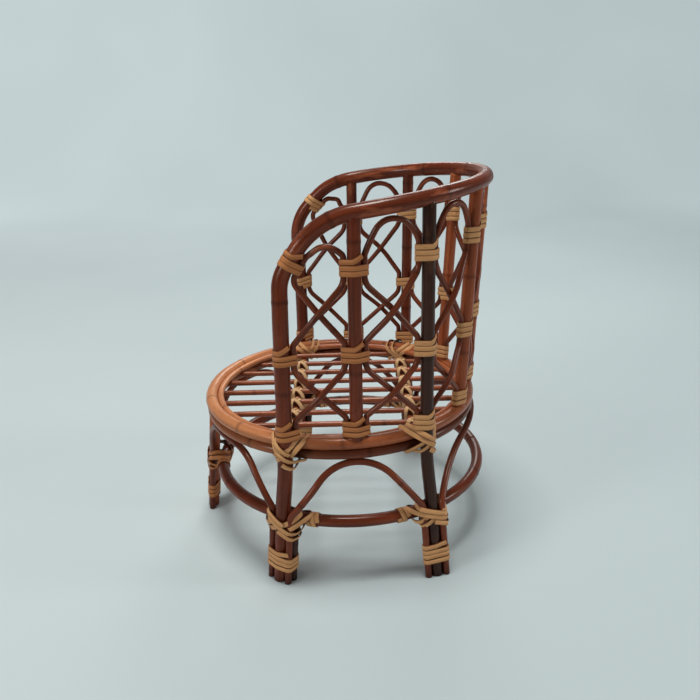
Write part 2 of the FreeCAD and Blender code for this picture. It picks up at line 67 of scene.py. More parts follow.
RUB_SCALE = (34, 130, 130)
# Heights where the darkening towards the floor starts and where it is full.
FOOT_DARK_TOP, FOOT_DARK_FLOOR = 0.012, 0.001
RUB_FROM, RUB_TO = 0.24, 0.30
# Seat Y where the painted front light on the seat rings starts, and where it is full.
FRONT_LIGHT_FROM, FRONT_LIGHT_TO = 0.005, -0.105
SCAR_DEPTH = 0.35
RUB_LIFT = 1.6
BARE_RATTAN = (0.090, 0.055, 0.028)


def spot(radius, angle, height, back=0.0):
    turn = math.radians(angle)
    return Vector((radius * math.sin(turn), back - radius * math.cos(turn), height))


def tangent(angle):
    return Vector((math.cos(math.radians(angle)), math.sin(math.radians(angle)), 0))


def straight_moves(start, end):
    count = max(1, math.ceil((end - start).length / POLE_STEP))
    return [(Matrix.Translation((end - start) / count), (end - start).length / count)] * count


def turning_moves(centre, axis, radius, turn):
    count = max(2, math.ceil(radius * turn / POLE_STEP))
    step = Matrix.Translation(centre) @ Matrix.Rotation(turn / count, 4, axis) @ Matrix.Translation(-centre)
    return [(step, radius * turn / count)] * count


def shade_pole(bm, name, diameter):
    # A pole is never quite round: it wavers a little and swells at each joint scar.
    grain, scar = bm.verts.layers.float_vector["grain"], bm.verts.layers.float["scar"]
    row = random.Random(name).uniform(0, GRAIN_START)
    bm.normal_update()
    for vert in bm.verts:
        swell = vert[scar] * SCAR_SWELL * diameter
        vert.co += vert.normal * (swell + noise.noise((vert[grain].x * WAVER_PITCH, row, 0)) * WAVER)


def pole(name, start, heading, moves, diameter, on_floor=False):
    # A round section carried along its moves. "grain" holds each point's place on the straight pole.
    chance = random.Random(name)
    bm = bmesh.new()
    grain = bm.verts.layers.float_vector.new("grain")
    scar = bm.verts.layers.float.new("scar")
    facing = heading.to_track_quat("Z", "Y").to_matrix().to_4x4()
    place = Matrix.Translation(start) @ facing
    ring = bmesh.ops.create_circle(bm, segments=POLE_SIDES, radius=diameter / 2, matrix=place)["verts"]
    along, to_scar = chance.uniform(0, GRAIN_START), chance.uniform(0, SCAR_SPACING[1])
    for vert in ring:
        section = place.inverted() @ vert.co
        vert[grain] = (along, section.x, section.y)
    edges = list({edge for vert in ring for edge in vert.link_edges})
    for move, length in moves:
        made = bmesh.ops.extrude_edge_only(bm, edges=edges)["geom"]
        ring = [item for item in made if isinstance(item, bmesh.types.BMVert)]
        edges = [item for item in made if isinstance(item, bmesh.types.BMEdge)]
        bmesh.ops.transform(bm, matrix=move, verts=ring)
        along, to_scar = along + length, to_scar - length
        for vert in ring:
            vert[grain] = (along, vert[grain].y, vert[grain].z)
            vert[scar] = float(to_scar < 0)
        if to_scar < 0:
            to_scar = chance.uniform(*SCAR_SPACING)
    shade_pole(bm, name, diameter)
    if on_floor:
        everything = bm.verts[:] + bm.edges[:] + bm.faces[:]
        bmesh.ops.bisect_plane(bm, geom=everything, plane_co=(0, 0, 0), plane_no=UP, clear_inner=True)
    ends = [edge for edge in bm.edges if edge.is_boundary]
    bmesh.ops.holes_fill(bm, edges=ends, sides=0)
    bmesh.ops.bevel(bm, geom=ends, offset=END_BEVEL, offset_type="OFFSET", segments=2, profile=0.5,
                    affect="EDGES", clamp_overlap=True, material=-1)
    bmesh.ops.recalc_face_normals(bm, faces=bm.faces)
    return bm


def add_piece(bm, name, material, slot, *nodes):
    mesh = bpy.data.meshes.new(name)
    bm.to_mesh(mesh)
    bm.free()
    mesh.shade_smooth()
    mesh.set_sharp_from_angle(angle=math.radians(SHARP_EDGE))
    mesh.materials.append(material)
    piece = bpy.data.objects.new(name, mesh)
    bpy.context.scene.collection.objects.link(piece)
    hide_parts(*nodes)
    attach(piece, "root")


def node(tree, kind, inputs=(), **settings):
    made = tree.nodes.new("ShaderNode" + kind)
    for name, value in settings.items():
        setattr(made, name, value)
    for socket, value in dict(inputs).items():
        if isinstance(value, bpy.types.NodeSocket):
            tree.links.new(value, made.inputs[socket])
        else:
            made.inputs[socket].default_value = value
    return made


def new_group(name, sockets):
    group = bpy.data.node_groups.new(name, "ShaderNodeTree")
    for socket, kind, direction in sockets:
        group.interface.new_socket(socket, in_out=direction, socket_type="NodeSocket" + kind)
    return group, group.nodes.new("NodeGroupInput").outputs, group.nodes.new("NodeGroupOutput").inputs


def streaks(tree, place, scale, detail):
    # Noise drawn out along the grain.
    stretched = node(tree, "Mapping", {"Vector": place, "Scale": scale}).outputs["Vector"]
    return node(tree, "TexNoise", {"Vector": stretched, "Scale": 1.0, "Detail": detail}).outputs["Fac"]


def remap(tree, value, low, high, to_low=0.0, to_high=1.0):
    inputs = {"Value": value, "From Min": low, "From Max": high, "To Min": to_low, "To Max": to_high}
    return node(tree, "MapRange", inputs).outputs["Result"]


def mix_colour(tree, share, first, second):
    inputs = {"Factor": share, 6: first, 7: second}
    return node(tree, "Mix", inputs, data_type="RGBA").outputs[2]


def maths(tree, operation, first, second):
    return node(tree, "Math", {0: first, 1: second}, operation=operation).outputs[0]


stain, given, result = new_group("rattan_stain", (
    ("Light", "Color", "INPUT"), ("Dark", "Color", "INPUT"), ("Scar", "Color", "INPUT"),
    ("Rubbed", "Color", "INPUT"), ("Colour", "Color", "OUTPUT"), ("Roughness", "Float", "OUTPUT"),
    ("Height", "Float", "OUTPUT")))
grain_place = node(stain, "Attribute", attribute_name="grain").outputs["Vector"]
fibre = streaks(stain, grain_place, FIBRE_SCALE, 5)
patch = streaks(stain, grain_place, PATCH_SCALE, 2)
fleck = remap(stain, streaks(stain, grain_place, FLECK_SCALE, 1), 0.62, 0.74)
tone = maths(stain, "ADD", remap(stain, fibre, 0.3, 0.7, 0, 0.5), remap(stain, patch, 0.3, 0.7, 0, 0.5))
wood = mix_colour(stain, tone, given["Dark"], given["Light"])
scar_mark = node(stain, "Attribute", attribute_name="scar").outputs["Fac"]
marks = maths(stain, "ADD", maths(stain, "MULTIPLY", scar_mark, 0.5), maths(stain, "MULTIPLY", fleck, 0.4))
height = node(stain, "SeparateXYZ", {"Vector": node(stain, "TexCoord").outputs["Object"]}).outputs["Z"]
# Darker towards the floor: over the last 12 mm each pole turns towards its scar colour.
marks = maths(stain, "MAXIMUM", marks, remap(stain, height, FOOT_DARK_TOP, FOOT_DARK_FLOOR, 0.0, 0.7))
rub = maths(stain, "MULTIPLY", remap(stain, height, RUB_FROM, RUB_TO, 0.1, 0.7),
            remap(stain, streaks(stain, grain_place, RUB_SCALE, 3), 0.56, 0.70))
wood = mix_colour(stain, rub, wood, given["Rubbed"])
stain.links.new(mix_colour(stain, marks, wood, given["Scar"]), result["Colour"])
stain.links.new(remap(stain, fibre, 0.3, 0.7, 0.44, 0.30), result["Roughness"])
stain.links.new(maths(stain, "SUBTRACT", fibre, maths(stain, "MULTIPLY", fleck, 0.3)), result["Height"])


def rattan(name, light, dark):
    # Stained rattan under a thin varnish. The stain is darker along the fibres, at the joint scars and over
    # the last 12 mm above the floor, and is rubbed off in places near the rail.
    material = bpy.data.materials.new(name)
    material.use_nodes = True
    tree = material.node_tree
    shader = tree.nodes["Principled BSDF"]
    look = node(tree, "Group", node_tree=stain)
    scar = [part * SCAR_DEPTH for part in dark]
    rubbed = [part * RUB_LIFT + bare for part, bare in zip(light, BARE_RATTAN)]
    for socket, colour in (("Light", light), ("Dark", dark), ("Scar", scar), ("Rubbed", rubbed)):
        look.inputs[socket].default_value = (*colour, 1)
    bump = node(tree, "Bump", {"Height": look.outputs["Height"], "Strength": 0.35, "Distance": 0.0004})
    tree.links.new(look.outputs["Colour"], shader.inputs["Base Color"])
    tree.links.new(look.outputs["Roughness"], shader.inputs["Roughness"])
    tree.links.new(bump.outputs["Normal"], shader.inputs["Normal"])
    shader.inputs["Specular IOR Level"].default_value = 0.16
    shader.inputs["Specular Tint"].default_value = (1.0, 0.55, 0.35, 1)
    shader.inputs["Coat Weight"].default_value = 0.45
    shader.inputs["Coat Roughness"].default_value = 0.2
    return material


def paint_front_light(material, light, dark):
    # Painted light: the rings are painted paler towards the front of the seat, as if more light fell on that
    # side.
    tree = material.node_tree
    seat_place = node(tree, "SeparateXYZ", {"Vector": node(tree, "TexCoord").outputs["Object"]}).outputs
    front_light_share = remap(tree, seat_place["Y"], FRONT_LIGHT_FROM, FRONT_LIGHT_TO)
    for socket, lit_tone in (("Light", light), ("Dark", dark)):
        stained = tree.nodes["Group"].inputs[socket]
        tree.links.new(mix_colour(tree, front_light_share, stained.default_value, (*lit_tone, 1)), stained)


def hoop(name, radius, diameter, height, back=0.0):
    centre = Vector((0, back, height))
    moves = turning_moves(centre, UP, radius, 2 * math.pi - BUTT_GAP / radius)
    return pole(name, spot(radius, BUTT_ANGLE, height, back), tangent(BUTT_ANGLE), moves, diameter)


rim_rattan = rattan("rim_rattan", (0.500, 0.150, 0.056), (0.250, 0.068, 0.027))
# Paler front colours: painted light on the front of the upper and inner rings.
paint_front_light(rim_rattan, (0.740, 0.320, 0.135), (0.430, 0.155, 0.062))
add_piece(hoop("upper_rim", RIM_RADIUS, UPPER_RIM_D, SEAT_HEIGHT), "upper_rim", rim_rattan,
          "seat_rattan", "seat_rim_upper")
add_piece(hoop("inner_rim", INNER_RIM_RADIUS, INNER_RIM_D, SEAT_HEIGHT), "inner_rim", rim_rattan,
          "seat_rattan", "seat_rim_inner")
lower_rattan = rattan("lower_rattan", (0.200, 0.050, 0.022), (0.075, 0.020, 0.010))
# Paler front colours: painted light on the front of the lower ring.
paint_front_light(lower_rattan, (0.560, 0.200, 0.082), (0.270, 0.085, 0.034))
add_piece(hoop("lower_rim", RIM_RADIUS, LOWER_RIM_D, LOWER_RIM_HEIGHT), "lower_rim", lower_rattan,
          "seat_rattan", "seat_rim_lower")

# Seat slats and cross bars: nine thin poles from front to back, held between the inner ring and two thicker
# bars below them. All are straight lengths of the same stained rattan, lashed together with cane.
SLAT_D = 0.005
SLAT_COUNT = 9
SLAT_MARGIN = 0.0225
SLAT_SPREAD = RIM_RADIUS - SLAT_MARGIN
SLAT_HEIGHT = SEAT_HEIGHT - INNER_RIM_D / 2 - SLAT_D / 2 - FIT
SLAT_REACH = RIM_RADIUS - UPPER_RIM_D / 2 - FIT
BAR_D = 0.007
BAR_HEIGHT = SLAT_HEIGHT - SLAT_D / 2 - BAR_D / 2 - FIT
BAR_REACH = INNER_RIM_RADIUS - INNER_RIM_D / 2 - FIT
BARS = {"front": -0.040, "rear": 0.063}


def stick(name, start, end, diameter, on_floor=False):
    way = (end - start).normalized()
    return pole(name, start, way, straight_moves(start, end), diameter, on_floor)


slat_rattan = rattan("slat_rattan", (0.390, 0.108, 0.045), (0.150, 0.040, 0.018))
slat_places = [SLAT_SPREAD * (2 * index / (SLAT_COUNT - 1) - 1) for index in range(SLAT_COUNT)]
for index, place in enumerate(slat_places):
    half = math.sqrt(SLAT_REACH ** 2 - (abs(place) + SLAT_D / 2) ** 2)
    name = "slat_%d" % (index + 1)
    slat = stick(name, Vector((place, -half, SLAT_HEIGHT)), Vector((place, half, SLAT_HEIGHT)), SLAT_D)
    add_piece(slat, name, slat_rattan, "seat_rattan", "seat_" + name)
bar_halves = {}
for name, place in BARS.items():
    half = bar_halves[name] = math.sqrt(BAR_REACH ** 2 - (abs(place) + BAR_D / 2) ** 2)
    bar = stick("bar_" + name, Vector((-half, place, BAR_HEIGHT)), Vector((half, place, BAR_HEIGHT)), BAR_D)
    add_piece(bar, "bar_" + name, slat_rattan, "seat_rattan", "seat_bar_" + name)

# Stretcher ring: one more hoop of stained pole, a little wider than the seat and set back from it. It lies
# low down inside the five legs and is bound to each of them.
STRETCHER_SPREAD = 0.003
STRETCHER_RADIUS = RIM_RADIUS + STRETCHER_SPREAD
STRETCHER_BACK = 0.008
STRETCHER_HEIGHT = 0.056
STRETCHER_D = 0.0104
frame_rattan = rattan("frame_rattan", (0.240, 0.046, 0.016), (0.070, 0.014, 0.006))
stretcher = hoop("stretcher", STRETCHER_RADIUS, STRETCHER_D, STRETCHER_HEIGHT, STRETCHER_BACK)
add_piece(stretcher, "stretcher", frame_rattan, "frame_rattan", "stretcher_ring")

# Arm and rail pole: the thickest pole, bent in one piece. It rises from the left front foot past the seat
# rim, bends back as the arm, runs round the back as the rail and comes down the same way on the right.
HOOP_D = 0.0125
ARM_ANGLE = 71.4
ARM_LEG_ANGLE = 65.5
ARM_MID_ANGLE = 71.1
ARM_MID_SPREAD = 0.0064
MIDDLE_TIE_HEIGHT = 0.200
ARM_TOP_INSET = 0.003
LEFT_ARM_ANGLE, LEFT_ARM_DROP, LEFT_ARM_TILT = 74.4, 0.0475, 33.0
LEFT_ARM_BEND = 0.009
RIGHT_ARM_ANGLE, RIGHT_ARM_DROP, RIGHT_ARM_TILT = 78.3, 0.035, 45.0
RAIL_INSET = 0.0095
RAIL_RADIUS = RIM_RADIUS - RAIL_INSET
RAIL_BACK = 0.019
RAIL_HEIGHT = 0.320
RAIL_DROP = 0.0135
RAIL_STEP = 30.5
REAR_POST_BAY, REAR_LEG_BAY, SIDE_POST_BAY = 1, 2, 3
OVERRUN = 0.008
CANE_WIDTH = 0.0043
CANE_GAP = 0.00015
CANE_PITCH = CANE_WIDTH + CANE_GAP
POST_TURNS = 3
NEARLY_STRAIGHT = 2e-4


def meeting(start, leaving, end, arriving):
    # Where the two arcs of a smooth bend meet, and the direction there.
    span = end - start
    spread = 2 * (1 - leaving.dot(arriving))
    along = span.dot(leaving + arriving)
    if spread < NEARLY_STRAIGHT:
        reach = span.dot(span) / (2 * along)
    else:
        reach = (math.sqrt(along * along + spread * span.dot(span)) - along) / spread
    first, second = start + leaving * reach, end - arriving * reach
    return (first + second) / 2, (second - first).normalized()


def bend_moves(start, heading, end):
    chord = end - start
    axis = heading.cross(chord)
    if axis.length < NEARLY_STRAIGHT * chord.length:
        return straight_moves(start, end)
    axis.normalize()
    inward = axis.cross(heading)
    radius = chord.dot(chord) / (2 * chord.dot(inward))
    return turning_moves(start + inward * radius, axis, radius, 2 * heading.angle(chord))


def bent_pole(name, stations, diameter, on_floor=False):
    moves = []
    for (start, leaving), (end, arriving) in zip(stations, stations[1:]):
        middle, passing = meeting(start, leaving, end, arriving)
        moves += bend_moves(start, leaving, middle) + bend_moves(middle, passing, end)
    return pole(name, *stations[0], moves, diameter, on_floor)


def mirrored(vector):
    return Vector((-vector.x, vector.y, vector.z))


def mirrored_run(stations):
    return [(mirrored(point), -mirrored(heading)) for point, heading in reversed(stations)]


def lean_towards(side, degrees):
    return UP * math.cos(math.radians(degrees)) + side * math.sin(math.radians(degrees))


def on_line(point, direction, height):
    return point + direction * ((height - point.z) / direction.z)


def leg_line(angle, low_angle, diameter):
    high = spot(RIM_RADIUS + UPPER_RIM_D / 2 + diameter / 2 + FIT, angle, SEAT_HEIGHT)
    low = spot(STRETCHER_RADIUS + STRETCHER_D / 2 + diameter / 2 + FIT, low_angle, STRETCHER_HEIGHT,
               STRETCHER_BACK)
    return high, low, (high - low).normalized()


def leg_start(low, way):
    return [(on_line(low, way, -OVERRUN), way), (low, way)]


def rail_station(bays):
    angle = 180 - RAIL_STEP * bays
    point = spot(RAIL_RADIUS, angle, RAIL_HEIGHT - RAIL_DROP * (bays / SIDE_POST_BAY) ** 2, RAIL_BACK)
    climb = 2 * RAIL_DROP * bays / SIDE_POST_BAY ** 2 / (RAIL_RADIUS * math.radians(RAIL_STEP))
    return point, (tangent(angle) + UP * climb).normalized()


arm_rim, arm_low, arm_leg_way = leg_line(ARM_ANGLE, ARM_LEG_ANGLE, HOOP_D)
arm_mid = spot(RIM_RADIUS + ARM_MID_SPREAD, ARM_MID_ANGLE, MIDDLE_TIE_HEIGHT)
arm_way = (arm_mid - arm_rim).normalized()


def arm_top(angle, drop, tilt):
    # Upper tie of an arm: its middle, the arm's direction there, and half its length.
    point = spot(RIM_RADIUS - ARM_TOP_INSET, angle, RAIL_HEIGHT - drop)
    rearward = (spot(RAIL_RADIUS, 90, point.z, RAIL_BACK) - point).normalized()
    return point, lean_towards(rearward, tilt), POST_TURNS * CANE_PITCH / 2


def elbow(top, bend):
    # Before a short bend below an arm's upper tie, at the end of an even run from its middle tie.
    point, way, half = top
    corner = point - way * (half + bend)
    chord = (corner - arm_mid).normalized()
    leaving = chord * (2 * chord.dot(arm_way)) - arm_way
    return corner - leaving * bend, leaving


def half_run(top, elbows=()):
    point, way, half = top
    run = leg_start(arm_low, arm_leg_way) + [(arm_rim, arm_way), (arm_mid, arm_way), *elbows]
    run += [(point - way * half, way), (point + way * half, way)]
    return run + [rail_station(bays) for bays in range(SIDE_POST_BAY, 0, -1)]


left_arm_top = arm_top(LEFT_ARM_ANGLE, LEFT_ARM_DROP, LEFT_ARM_TILT)
right_arm_top = arm_top(RIGHT_ARM_ANGLE, RIGHT_ARM_DROP, RIGHT_ARM_TILT)
left_half_run = half_run(left_arm_top, [elbow(left_arm_top, LEFT_ARM_BEND)])
arm_rail_run = left_half_run + [rail_station(0)] + mirrored_run(half_run(right_arm_top))
arm_rail = bent_pole("arm_rail", arm_rail_run, HOOP_D, on_floor=True)
add_piece(arm_rail, "arm_rail", frame_rattan, "frame_rattan", "arm_rail_hoop")

# Rear legs: two rattan poles that stand outside the rim and the stretcher, bend at the rim and run on up to
# the rail as back posts. The left one took the stain more than the rest and is almost black.
POST_D = 0.0105
REAR_LEG_ANGLE = 122.9
REAR_LEG_LOW_ANGLE = 120.6
RAIL_HOLLOW = HOOP_D / 4
dark_rattan = rattan("dark_rattan", (0.058, 0.022, 0.013), (0.020, 0.008, 0.006))
rear_rim, rear_low, rear_leg_way = leg_line(REAR_LEG_ANGLE, REAR_LEG_LOW_ANGLE, POST_D)
rear_top = rail_station(REAR_LEG_BAY)[0]
rear_way = (rear_top - rear_rim).normalized()
rear_end = rear_top - rear_way * RAIL_HOLLOW
rear_run = leg_start(rear_low, rear_leg_way) + [(rear_rim, rear_way), (rear_end, rear_way)]
rear_leg = bent_pole("rear_leg_left", rear_run, POST_D, on_floor=True)
add_piece(rear_leg, "rear_leg_left", dark_rattan, "frame_rattan", "rear_leg_post_left")
far_run = [(mirrored(point), mirrored(heading)) for point, heading in rear_run]
rear_leg = bent_pole("rear_leg_right", far_run, POST_D, on_floor=True)
add_piece(rear_leg, "rear_leg_right", frame_rattan, "frame_rattan", "rear_leg_post_right")

# Short back posts: five straight rattan poles between the seat rim and the rail, their ends hollowed to sit
# over the round poles that they meet. The three at the back are a warmer, lighter brown than the two at the
# sides: partly their own warmer tone, partly painted light, as if more light fell on them.
SIDE_POST_ANGLE = 97.0
REAR_POST_ANGLE = 150.5
SADDLE = 0.0015
# Painted light in part: a lighter, warmer copy of the frame stain, as if more light fell on these posts.
warm_lit_rattan = rattan("warm_lit_rattan", (0.580, 0.150, 0.050), (0.220, 0.050, 0.018))
post_lines = {}
for name, angle, bays in (("side", SIDE_POST_ANGLE, SIDE_POST_BAY), ("rear", REAR_POST_ANGLE, REAR_POST_BAY),
                          ("centre", 180.0, 0)):
    foot, top = spot(RIM_RADIUS, angle, RIM_TOP - SADDLE), rail_station(bays)[0]
    way = (top - foot).normalized()
    post_lines[name] = foot, way
    foot, top = foot - way * SADDLE, top - way * RAIL_HOLLOW
    sides = (("_left", Vector), ("_right", mirrored)) if name != "centre" else (("", Vector),)
    for side, place in sides:
        post = stick("post_" + name + side, place(foot), place(top), POST_D)
        post_rattan = frame_rattan if name == "side" else warm_lit_rattan
        add_piece(post, "post_" + name + side, post_rattan, "frame_rattan", "back_post_" + name + side)

# Front leg: a straight rattan pole that stands in front of the stretcher, bound to it, with its hollowed top
# under the lower seat ring.
FRONT_LEG_D = 0.0105
front_reach = STRETCHER_RADIUS + STRETCHER_D / 2 + FRONT_LEG_D / 2 + FIT
front_low = spot(front_reach, 0, STRETCHER_HEIGHT, STRETCHER_BACK)
front_top = spot(RIM_RADIUS, 0, LOWER_RIM_HEIGHT - LOWER_RIM_D / 2 + SADDLE)
front_way = (front_top - front_low).normalized()
front_end = on_line(front_low, front_way, -OVERRUN)
front_leg = stick("front_leg_pole", front_end, front_top, FRONT_LEG_D, on_floor=True)
# The front leg has the same warm colour, which is partly painted light.
add_piece(front_leg, "front_leg_pole", warm_lit_rattan, "frame_rattan", "front_leg")

# Lattice strands: one long thin rattan core in each bay of the back. It climbs from the foot of one post,
# crosses to the next and back, loops under the rail and comes down again. Cane binds it to the posts at three
# heights.
STRAND_D = 0.0048
UPPER_TIE_DROP = 0.040
LOWER_TIE_GAP = 0.0012
LOWER_BEND = 0.002
UPPER_BEND = 0.006
LOOP_LEAN = 22.0
LOW_LOOP_LEAN = 48.0
BAY_BULGE = 0.0025
LOOP_CLEARANCE = 0.0006
LOOP_RISE = UPPER_TIE_DROP - HOOP_D / 2 - STRAND_D / 2 - LOOP_CLEARANCE
LEFT_LOOP_RISE = 0.016
RIGHT_LOOP_RISE = 0.019
LOW_TURNS = 3
LOW_TIE_HEIGHT = RIM_TOP + LOWER_TIE_GAP + LOW_TURNS * CANE_PITCH / 2
tie_turns = (LOW_TURNS, POST_TURNS, POST_TURNS)


def across(vector, axis):
    return (vector - axis * vector.dot(axis)).normalized()


def tie_points(point, way, top_height):
    heights = (LOW_TIE_HEIGHT, MIDDLE_TIE_HEIGHT, top_height)
    return [(on_line(point, way, height), way, turns * CANE_PITCH / 2)
            for height, turns in zip(heights, tie_turns)]


def upper_tie(bays):
    return rail_station(bays)[0].z - UPPER_TIE_DROP


arm_ties = tie_points(arm_rim, arm_way, MIDDLE_TIE_HEIGHT)[:2]
left_posts = [
    ("arm_left", HOOP_D / 2, arm_ties + [left_arm_top]),
    ("side_left", POST_D / 2, tie_points(*post_lines["side"], upper_tie(SIDE_POST_BAY))),
    ("rear_leg_left", POST_D / 2, tie_points(rear_rim, rear_way, upper_tie(REAR_LEG_BAY))),
    ("rear_left", POST_D / 2, tie_points(*post_lines["rear"], upper_tie(REAR_POST_BAY))),
    ("centre", POST_D / 2, tie_points(*post_lines["centre"], upper_tie(0))),
]
right_arm = ("arm_left", HOOP_D / 2, arm_ties + [right_arm_top])
right_posts = [(name.replace("left", "right"), radius,
                [(mirrored(point), mirrored(way), half) for point, way, half in ties])
               for name, radius, ties in left_posts[-2:0:-1] + [right_arm]]
posts = left_posts + right_posts


def strand_seat(post, neighbour, level):
    point, way, half = post[2][level]
    return across(neighbour[2][level][0] - point, way), post[1] + STRAND_D / 2 + FIT


def leaned(point, way, side, lean, bend):
    # Past a short bend that turns a core from its way towards one side.
    leaving = way * math.cos(math.radians(lean)) + side * math.sin(math.radians(lean))
    return point + (way + leaving) * bend, leaving


def eased(before, after, middle, bends):
    # Over a first bend, straight through a middle point, and over a second bend.
    corner, far_corner = before[0] + before[1] * bends[0], after[0] - after[1] * bends[1]
    leaving, arriving = (middle - corner).normalized(), (far_corner - middle).normalized()
    return [(corner + leaving * bends[0], leaving), (middle, (far_corner - corner).normalized()),
            (far_corner - arriving * bends[1], arriving)]


def strand_run(first, second, peak_height, leans):
    pairs = [(first, second), (second, first)]
    rising = (LOWER_BEND, UPPER_BEND)

    def at_tie(post, neighbour, level, share, beyond=0.0):
        point, way, half = post[2][level]
        side, distance = strand_seat(post, neighbour, level)
        return point + side * distance + way * (half * share + beyond)

    def along_tie(post, neighbour, level, climb):
        way = post[2][level][1] * climb
        return [(at_tie(post, neighbour, level, -climb), way), (at_tie(post, neighbour, level, climb), way)]

    def crossed(before, after, low, layer, bends):
        middle = Vector()
        for pair in pairs:
            middle += (at_tie(*pair, low, 1, LOWER_BEND) + at_tie(*pair, low + 1, -1, -UPPER_BEND)) / 4
        outward = Vector((middle.x, middle.y, 0)).normalized() * (BAY_BULGE + layer * (STRAND_D + FIT) / 2)
        return before + eased(before[-1], after[0], middle + outward, bends)

    def loop_end(post, neighbour, lean):
        side = strand_seat(post, neighbour, 2)[0]
        return leaned(at_tie(post, neighbour, 2, 1), post[2][2][1], side, lean, LOWER_BEND)

    (start, leaving), (end, arriving) = [loop_end(*pair, lean) for pair, lean in zip(pairs, leans)]
    peak = (start + end) / 2
    peak.z = 0
    peak += peak.normalized() * BAY_BULGE + UP * peak_height
    climbing = [along_tie(*pairs[level % 2], level, 1) for level in (0, 1, 2)]
    falling = [along_tie(*pairs[(level + 1) % 2], level, -1) for level in (2, 1, 0)]
    run = crossed(climbing[0], climbing[1], 0, 1, rising)
    run += crossed(climbing[1], climbing[2], 1, -1, rising) + climbing[2]
    run += [(start, leaving), (peak, across(end - start, UP)), (end, -arriving)]
    run += crossed(falling[0], falling[1], 1, 1, rising[::-1])
    run += crossed(falling[1], falling[2], 0, -1, rising[::-1])
    return run + falling[2]


strand_rattan = rattan("strand_rattan", (0.250, 0.054, 0.021), (0.078, 0.018, 0.008))
bay_pairs = list(zip(posts, posts[1:]))
arm_loops = {0: (LEFT_LOOP_RISE, (LOOP_LEAN, LOW_LOOP_LEAN)),
             len(bay_pairs) - 1: (RIGHT_LOOP_RISE, (LOW_LOOP_LEAN, LOOP_LEAN))}
for index, (first, second) in enumerate(bay_pairs):
    heights = [post[2][-1][0].z for post in (first, second)]
    peak_height, leans = (heights[0] + heights[1]) / 2 + LOOP_RISE, (LOOP_LEAN, LOOP_LEAN)
    if index in arm_loops:
        rise, leans = arm_loops[index]
        peak_height = min(heights) + rise
    name = "strand_%d" % (index + 1)
    strand = bent_pole(name, strand_run(first, second, peak_height, leans), STRAND_D)
    add_piece(strand, name, strand_rattan, "frame_rattan", "back_" + name)

# Leg arches and stubs: five thin rattan cores bent from foot to foot, touching the lower seat ring from
# below, the rear one from below and behind. Their ends run down beside the legs to the floor, and four short
# offcuts fill the space behind the side legs.
ARCH_D = 0.0057
ARCH_SPRING = 0.062
ARCH_BEND = 0.004
ARCH_LEAN = 35.0
REAR_ARCH_LEAN = 45.0
REAR_CROWN_LEAN = 30.0
CROWN_TURN = 24.0
CROWN_GAP = LOWER_RIM_D / 2 + ARCH_D / 2 + FIT
STUB_D = 0.007
STUB_HEIGHT = 0.064


class Foot:
    # A leg where it meets the stretcher, with the places beside it as (towards the rear, outward).
    def __init__(self, low, way, diameter, with_stub):
        self.low, self.way, self.diameter = low, way, diameter
        self.outward = across(Vector((low.x, low.y - STRETCHER_BACK, 0)), way)
        self.rearward = way.cross(self.outward)
        reach = diameter / 2 + ARCH_D / 2 + FIT
        self.front, self.rear, self.stub = Vector((-reach, 0)), Vector((reach, 0)), None
        if with_stub:
            stub_reach, stub_depth = diameter / 2 + STUB_D / 2 + FIT, STUB_D / 2 - diameter / 2
            self.stub = Vector((math.sqrt(stub_reach ** 2 - stub_depth ** 2), stub_depth))
            beyond = STUB_D / 2 + ARCH_D / 2 + FIT
            shared = (stub_reach ** 2 + reach ** 2 - beyond ** 2) / (2 * stub_reach)
            towards = self.stub.normalized()
            aside = Vector((-towards.y, towards.x))
            self.rear = towards * shared + aside * math.sqrt(reach ** 2 - shared ** 2)

    def beside(self, place, height):
        return on_line(self.low, self.way, height) + self.rearward * place.x + self.outward * place.y

    def arch_end(self, place, side, lean):
        # From the floor up beside the leg and over a short bend towards the crown.
        foot, spring = self.beside(place, -OVERRUN), self.beside(place, ARCH_SPRING)
        past_bend = leaned(spring, self.way, across(side, self.way), lean, ARCH_BEND)
        return [(foot, self.way), (spring, self.way), past_bend]


def angle_of(point):
    return math.degrees(math.atan2(point.x, -point.y))


def crown(angle):
    return [(spot(RIM_RADIUS, angle, LOWER_RIM_HEIGHT - CROWN_GAP), tangent(angle))]


def arch_run(first, second):
    springs = first.beside(first.rear, ARCH_SPRING), second.beside(second.front, ARCH_SPRING)
    angles = [angle_of(spring) for spring in springs]
    start = first.arch_end(first.rear, tangent(angles[0]), ARCH_LEAN)
    end = second.arch_end(second.front, -tangent(angles[1]), ARCH_LEAN)
    if angles[1] - angles[0] > 2 * CROWN_TURN:
        top = crown(angles[0] + CROWN_TURN) + crown(angles[1] - CROWN_TURN)
    else:
        top = crown((angles[0] + angles[1]) / 2)
    return start + top + [(point, -way) for point, way in end[::-1]]


arm_foot = Foot(arm_low, arm_leg_way, HOOP_D, True)
rear_foot = Foot(rear_low, rear_leg_way, POST_D, True)
front_foot = Foot(front_low, front_way, FRONT_LEG_D, False)
for name, run in (("front", arch_run(front_foot, arm_foot)), ("side", arch_run(arm_foot, rear_foot))):
    for side, path in (("_left", run), ("_right", mirrored_run(run))):
        arch = bent_pole("arch_" + name + side, path, ARCH_D, on_floor=True)
        add_piece(arch, "arch_" + name + side, strand_rattan, "frame_rattan", "leg_arch_" + name + side)
crown_tilt = math.radians(REAR_CROWN_LEAN)
rear_crown = spot(RIM_RADIUS + CROWN_GAP * math.sin(crown_tilt), 180,
                  LOWER_RIM_HEIGHT - CROWN_GAP * math.cos(crown_tilt))
to_crown = rear_crown - rear_foot.beside(rear_foot.rear, ARCH_SPRING)
half_arch = rear_foot.arch_end(rear_foot.rear, to_crown, REAR_ARCH_LEAN)
rear_arch_run = half_arch + [(rear_crown, tangent(180))] + mirrored_run(half_arch)
rear_arch = bent_pole("arch_rear", rear_arch_run, ARCH_D, on_floor=True)
